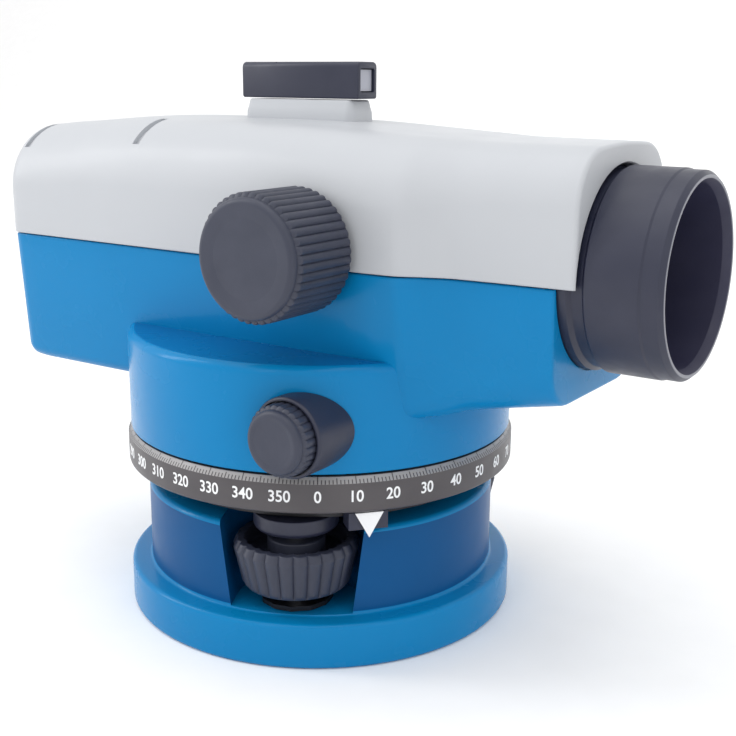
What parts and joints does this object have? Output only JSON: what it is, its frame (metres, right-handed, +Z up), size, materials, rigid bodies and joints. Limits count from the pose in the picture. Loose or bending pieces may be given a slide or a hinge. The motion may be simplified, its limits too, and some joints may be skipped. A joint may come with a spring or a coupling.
{
  "type": "automatic level",
  "caption": "Automatic surveying level: telescope housing on a round tribrach base, with hood, focusing knob, endless tangent drive, graduated circle and foot screws.",
  "frame": {"origin": "centre of the base plate's underside, on the vertical axis", "axes": "+Z up along the vertical axis, +X towards the objective, focusing knob on -Y"},
  "size_m": [0.2144, 0.1143, 0.1481],
  "materials": {
    "blue_paint": "glossy blue paint on a light alloy casting",
    "white_paint": "satin cool white paint on a light alloy casting",
    "black_plastic": "satin dark grey moulded plastic",
    "circle_plastic": "dark grey satin, white figures and graduations",
    "black_metal": "black anodised",
    "steel": "turned steel",
    "brass": "turned brass",
    "grey_metal": "bare cast light alloy",
    "glass": "polished, coated",
    "mirror_glass": "silvered",
    "mark_white": "white mark"
  },
  "bodies": {
    "base": {"base_plate": "blue_paint", "tripod_bush": "brass", "foot_clip_1": "black_metal", "foot_clip_2": "black_metal", "foot_clip_3": "black_metal"},
    "foot_screw_1": {"foot_screw_1_knob": "black_plastic", "foot_screw_1_spindle": "steel"},
    "foot_screw_2": {"foot_screw_2_knob": "black_plastic", "foot_screw_2_spindle": "steel"},
    "foot_screw_3": {"foot_screw_3_knob": "black_plastic", "foot_screw_3_spindle": "steel"},
    "tribrach": {"tribrach": "black_metal", "foot_bush_1": "black_plastic", "foot_bush_2": "black_plastic", "foot_bush_3": "black_plastic", "axis_sleeve": "brass", "index_bracket": "black_plastic", "index_mark": "mark_white"},
    "circle": {"graduated_circle": "circle_plastic"},
    "alidade": {"lower_housing": "blue_paint", "upper_shell": "white_paint", "bottom_cover": "black_plastic", "vertical_spindle": "steel", "objective_barrel": "black_metal", "objective_lens": "glass", "lens_ring": "black_metal", "objective_hood": "black_plastic", "telescope_tube": "black_metal", "telescope_cradle": "grey_metal", "focus_bush": "black_plastic", "compensator_frame": "grey_metal", "prism_front": "glass", "prism_rear": "glass", "damper_magnet": "steel", "eyepiece_mount": "black_plastic", "reticle_cell": "brass", "reticle": "glass", "sight_body": "black_plastic", "sight_window_front": "glass", "sight_window_rear": "glass", "tangent_socket_right": "black_plastic", "tangent_socket_left": "black_plastic", "level_holder": "black_plastic", "level_vial": "glass", "mirror_bracket": "black_plastic", "level_mirror": "mirror_glass"},
    "worm": {"worm_shaft": "steel", "tangent_knob_right": "black_plastic", "tangent_knob_left": "black_plastic"},
    "wheel": {"worm_wheel": "brass"},
    "focus": {"focus_knob": "black_plastic", "focus_pinion": "steel"},
    "focusing_cell": {"focusing_cell": "brass", "focusing_lens": "glass"},
    "pendulum": {"pendulum": "brass", "pendulum_prism": "glass"},
    "eyepiece_dial": {"eyepiece_ring": "black_plastic"},
    "eyepiece_cell": {"eyepiece_cell": "brass", "eyepiece_lens": "glass"}
  },
  "joints": [
    {"name": "foot_screw_1_turn", "type": "hinge", "parent": "base", "child": "foot_screw_1", "pos_m": [0.01752, -0.03439, 0.022], "axis": [0, 0, 1], "range_deg": [-950, 950]},
    {"name": "foot_screw_2_turn", "type": "hinge", "parent": "base", "child": "foot_screw_2", "pos_m": [0.02102, 0.03237, 0.022], "axis": [0, 0, 1], "range_deg": [-950, 950]},
    {"name": "foot_screw_3_turn", "type": "hinge", "parent": "base", "child": "foot_screw_3", "pos_m": [-0.03855, 0.00202, 0.022], "axis": [0, 0, 1], "range_deg": [-950, 950]},
    {"name": "tribrach_tilt", "type": "hinge", "parent": "base", "child": "tribrach", "pos_m": [0.01927, -0.00101, 0.037], "axis": [0.0523, 0.9986, 0], "range_deg": [-1.95, 1.95]},
    {"name": "circle_turn", "type": "hinge", "parent": "tribrach", "child": "circle", "pos_m": [0, 0, 0.046], "axis": [0, 0, 1], "continuous": true},
    {"name": "azimuth_turn", "type": "hinge", "parent": "tribrach", "child": "alidade", "pos_m": [0, 0, 0.062], "axis": [0, 0, 1], "continuous": true},
    {"name": "tangent_turn", "type": "hinge", "parent": "alidade", "child": "worm", "pos_m": [0.028, 0, 0.062], "axis": [0, 1, 0], "continuous": true},
    {"name": "worm_wheel_turn", "type": "hinge", "parent": "alidade", "child": "wheel", "pos_m": [0, 0, 0.062], "axis": [0, 0, 1], "continuous": true},
    {"name": "focus_turn", "type": "hinge", "parent": "alidade", "child": "focus", "pos_m": [0.0209, -0.0361, 0.1041], "axis": [0, -1, 0], "range_deg": [-193, 193]},
    {"name": "focusing_slide", "type": "slide", "parent": "alidade", "child": "focusing_cell", "axis": [1, 0, 0], "range_m": [-0.01, 0.01]},
    {"name": "pendulum_swing", "type": "hinge", "parent": "alidade", "child": "pendulum", "pos_m": [-0.0335, 0, 0.114], "axis": [0, 1, 0], "range_deg": [-0.5, 0.5]},
    {"name": "eyepiece_turn", "type": "hinge", "parent": "alidade", "child": "eyepiece_dial", "pos_m": [-0.088, 0, 0.1011], "axis": [1, 0, 0], "range_deg": [-152, 152]},
    {"name": "eyepiece_slide", "type": "slide", "parent": "alidade", "child": "eyepiece_cell", "axis": [1, 0, 0], "range_m": [-0.0021, 0.0021]}
  ],
  "couplings": [
    {"joint": "foot_screw_3_turn", "follows": "tribrach_tilt", "ratio": -485.06},
    {"joint": "worm_wheel_turn", "follows": "tangent_turn", "ratio": -0.027778},
    {"joint": "focus_turn", "follows": "focusing_slide", "rad_per_m": 333.33},
    {"joint": "eyepiece_turn", "follows": "eyepiece_slide", "rad_per_m": 1250}
  ]
}
